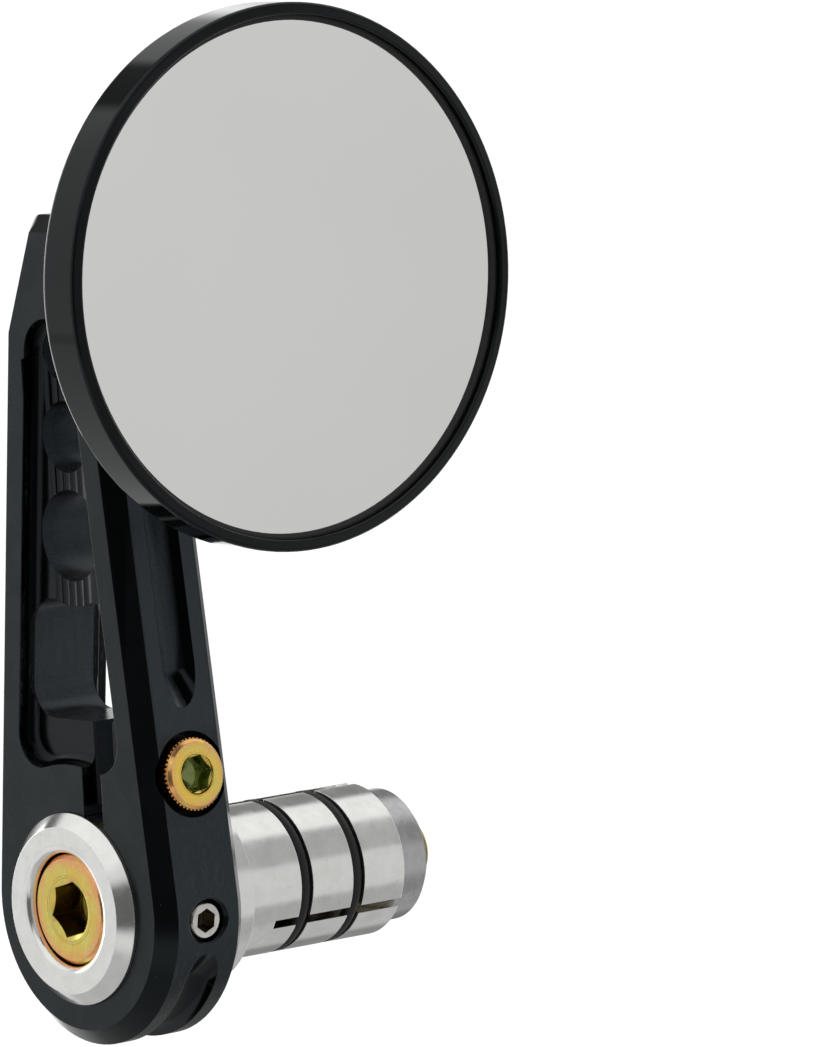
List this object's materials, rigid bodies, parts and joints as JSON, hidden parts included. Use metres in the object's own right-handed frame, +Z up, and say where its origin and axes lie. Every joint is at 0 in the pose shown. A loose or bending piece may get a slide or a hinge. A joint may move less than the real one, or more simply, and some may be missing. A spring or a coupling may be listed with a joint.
{
  "type": "bar-end mirror",
  "caption": "Round mirror head on a ball joint and a machined arm, clamped on a bush that bolts into a handlebar's open end.",
  "frame": {"origin": "centre of the bush's seat, the face that meets the end of the handlebar, on the bar's axis", "axes": "+X along the bar's axis, into the bar; +Z up along the arm's centre line; the mirror faces -Y, towards the rider"},
  "size_m": [0.0759, 0.0569, 0.1221],
  "materials": {
    "black_anodised": "satin black anodised",
    "black_anodised_gloss": "polished black anodised",
    "bright_aluminium": "turned and polished",
    "yellow_zinc": "yellow chromated zinc plate",
    "stainless": "bright",
    "plain_steel": "plain",
    "black_rubber": "matt",
    "nylon": "natural",
    "mirror_face": "flat mirror glass",
    "silvering": "bright",
    "adhesive": "black acrylic adhesive"
  },
  "bodies": {
    "bar_end": {"bar_end_bush": "bright_aluminium", "bolt_washer": "plain_steel", "expander_sleeve": "bright_aluminium", "expander_rings": "black_rubber"},
    "center_bolt": {"center_bolt": "yellow_zinc"},
    "wedge": {"expander_wedge": "plain_steel"},
    "arm": {"arm": "black_anodised", "ball_stud": "stainless", "stud_washer": "plain_steel", "stud_lock_nut": "plain_steel"},
    "clamp_bolt": {"clamp_bolt": "yellow_zinc"},
    "grub_screw": {"grub_screw": "stainless"},
    "inner_seat": {"inner_ball_seat": "nylon"},
    "outer_seat": {"outer_ball_seat": "nylon"},
    "head": {"socket_plug": "plain_steel", "rear_cover": "black_anodised_gloss", "cover_screws": "stainless", "dust_ring": "black_rubber", "mirror_housing": "black_anodised_gloss", "mirror_glass": "mirror_face", "reflective_backing": "silvering", "adhesive_layer": "adhesive", "glass_gasket": "black_rubber"}
  },
  "joints": [
    {"name": "arm_swing", "type": "hinge", "parent": "bar_end", "child": "arm", "pos_m": [-0.0111, 0, 0], "axis": [1, 0, 0], "continuous": true},
    {"name": "center_bolt_turn", "type": "hinge", "parent": "bar_end", "child": "center_bolt", "pos_m": [-0.0176, 0, 0], "axis": [-1, 0, 0], "range_deg": [0, 900]},
    {"name": "wedge_travel", "type": "slide", "parent": "bar_end", "child": "wedge", "axis": [1, 0, 0], "range_m": [0, 0.00313]},
    {"name": "clamp_bolt_turn", "type": "hinge", "parent": "arm", "child": "clamp_bolt", "pos_m": [-0.0111, -0.01468, 0.01615], "axis": [0, -0.9937, 0.112], "range_deg": [0, 720]},
    {"name": "grub_screw_turn", "type": "hinge", "parent": "arm", "child": "grub_screw", "pos_m": [-0.0111, -0.01597, -0.00098], "axis": [0, -0.9981, -0.061], "range_deg": [0, 1080]},
    {"name": "head_spin", "type": "hinge", "parent": "arm", "child": "inner_seat", "pos_m": [-0.0111, -0.02445, 0.07465], "axis": [-0.0419, -0.9991, 0], "continuous": true},
    {"name": "head_pan", "type": "hinge", "parent": "inner_seat", "child": "outer_seat", "pos_m": [-0.0111, -0.02445, 0.07465], "axis": [0, 0, 1], "range_deg": [-14, 14]},
    {"name": "head_tilt", "type": "hinge", "parent": "outer_seat", "child": "head", "pos_m": [-0.0111, -0.02445, 0.07465], "axis": [0.9991, -0.0419, 0], "range_deg": [-14, 14]}
  ],
  "couplings": [
    {"joint": "center_bolt_turn", "follows": "wedge_travel", "rad_per_m": 5026.5}
  ]
}
